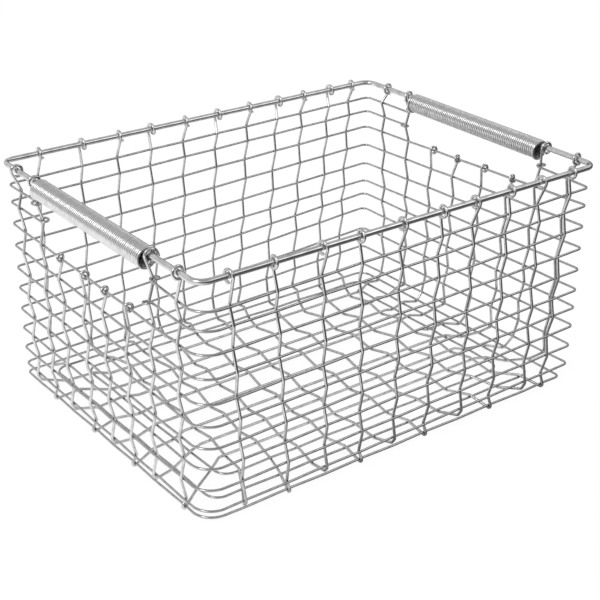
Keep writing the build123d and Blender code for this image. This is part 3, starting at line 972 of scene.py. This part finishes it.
# %% Table
table_left, table_right, table_front, table_back = -1.3, 1.3, -0.52, 1.6
floor_mesh = bpy.data.meshes.new("table_top")
floor_mesh.from_pydata([(table_left, table_front, 0), (table_right, table_front, 0),
                        (table_right, table_back, 0), (table_left, table_back, 0)], [], [(0, 1, 2, 3)])
floor = bpy.data.objects.new("table_top", floor_mesh)
bpy.context.scene.collection.objects.link(floor)

# %% The shade on the table, which only mirror rays see
# Each pair of edges says where a shade begins and where it is full, in metres.
front_edges, strip_edges = (0.10, 0.15), (-0.30, -0.02)
under_edges, middle_edges, back_edges = (-0.25, -0.1), (-0.15, 0.0), (0.15, 0.22)
strip_shade, basket_shade = 0.97, 0.62
table_white = bpy.data.materials.new("table_white")
table_white.use_nodes = True
tree = table_white.node_tree
rays = tree.nodes.new("ShaderNodeLightPath")
spot = tree.nodes.new("ShaderNodeNewGeometry")
across, back, _ = split(tree, spot.outputs["Position"])
to_front = times(tree, back, -1)
front_strip = times(tree, ramp(tree, to_front, *front_edges), ramp(tree, across, *strip_edges))
middle = minus(tree, ramp(tree, back, *middle_edges), ramp(tree, back, *back_edges))
under_basket = times(tree, ramp(tree, across, *under_edges), middle)
darker = plus(tree, times(tree, front_strip, strip_shade), times(tree, under_basket, basket_shade))
shade = times(tree, darker, rays.outputs["Is Glossy Ray"])
print("table's shade in the wires:", strip_shade, "in front,", basket_shade, "under the basket")

# %% White of the table
table_glow, seen_glow, mirrored_glow = 1.1, 0.82, 0.92
matt = tree.nodes["Principled BSDF"]
matt.inputs["Base Color"].default_value = (0.82, 0.82, 0.82, 1)
matt.inputs["Roughness"].default_value = 0.9
matt.inputs["Specular IOR Level"].default_value = 0.1
glow = tree.nodes.new("ShaderNodeEmission")
tree.links.new(minus(tree, table_glow, shade), glow.inputs["Strength"])
share = plus(tree, times(tree, seen_directly(tree, rays), seen_glow),
             times(tree, rays.outputs["Is Glossy Ray"], mirrored_glow))
table_look = mixed(tree, share, matt.outputs["BSDF"], glow.outputs["Emission"])
tree.links.new(table_look, tree.nodes["Material Output"].inputs["Surface"])
floor_mesh.materials.append(table_white)
print("table glow", table_glow)

# %% [markdown]
# ## The room that the wires show
#
# Bright metal has hardly any colour of its own: what it shows is the room. A room that is
# white all round makes a wire look like plastic. So the world is white to the camera and a
# plain soft light for everything but the wires' reflections. Those see a dim band at the
# horizon, a bright ring of light walls above it and a greyer ceiling. Each wire then has a
# light top, a bright line, a dark line and a pale underside, in that order, as the real ones
# do.

# %% The room's light, from the horizon up to the ceiling
# Each pair of edges says where a light begins and where it is full, from -1 to 1.
dim_light, left_light, wall_light, ceiling_light = 0.07, 0.60, 0.76, 0.44
left_edges, wall_edges, ceiling_edges = (-0.1, 0.7), (0.22, 0.45), (0.66, 0.82)
left_x, left_y = 0.83, 0.55
world = bpy.data.worlds.new("light_tent")
bpy.context.scene.world = world
world.use_nodes = True
tree = world.node_tree
direction = tree.nodes.new("ShaderNodeTexCoord")
across, back, up = split(tree, direction.outputs["Generated"])
to_left = minus(tree, times(tree, back, left_y), times(tree, across, left_x))
horizon = plus(tree, dim_light, times(tree, ramp(tree, to_left, *left_edges), left_light))
dimmed = times(tree, ramp(tree, up, *ceiling_edges), wall_light - ceiling_light)
over_horizon = minus(tree, minus(tree, wall_light, dimmed), horizon)
room_light = plus(tree, horizon, times(tree, over_horizon, ramp(tree, up, *wall_edges)))
print("room: horizon", dim_light, "walls", wall_light, "ceiling", ceiling_light)

# %% World: white to the camera, the room to mirror rays, plain to all others
plain_light = 0.6
plain = tree.nodes["Background"]
white, room = tree.nodes.new("ShaderNodeBackground"), tree.nodes.new("ShaderNodeBackground")
for background in (plain, white, room):
    background.inputs["Color"].default_value = (1, 1, 1, 1)
plain.inputs["Strength"].default_value = plain_light
tree.links.new(room_light, room.inputs["Strength"])

rays = tree.nodes.new("ShaderNodeLightPath")
around_wires = mixed(tree, rays.outputs["Is Glossy Ray"],
                     plain.outputs["Background"], room.outputs["Background"])
world_look = mixed(tree, seen_directly(tree, rays), around_wires, white.outputs["Background"])
tree.links.new(world_look, tree.nodes["World Output"].inputs["Surface"])
print("world:", len(tree.nodes), "nodes")

# %% A lamp on the left for the glints of the springs, and a weak one on the right
lamp_aim = Vector((0, 0, 0.1))


def soft_lamp(name, place, size, power):
    lamp = bpy.data.objects.new(name, bpy.data.lights.new(name, "AREA"))
    lamp.data.shape = "RECTANGLE"
    lamp.data.size, lamp.data.size_y = size
    lamp.data.energy = power
    lamp.location = place
    lamp.rotation_mode = "QUATERNION"
    lamp.rotation_quaternion = (lamp_aim - Vector(place)).to_track_quat("-Z", "Y")
    bpy.context.scene.collection.objects.link(lamp)


soft_lamp("lamp_left", place=(-2.9, -0.75, 2.75), size=(1.5, 1.5), power=34)
soft_lamp("lamp_right", place=(1.0, -1.1, 1.3), size=(0.9, 0.7), power=2)
bpy.context.scene.view_settings.view_transform = "Standard"
print("lamps:", [light.name for light in bpy.data.lights])
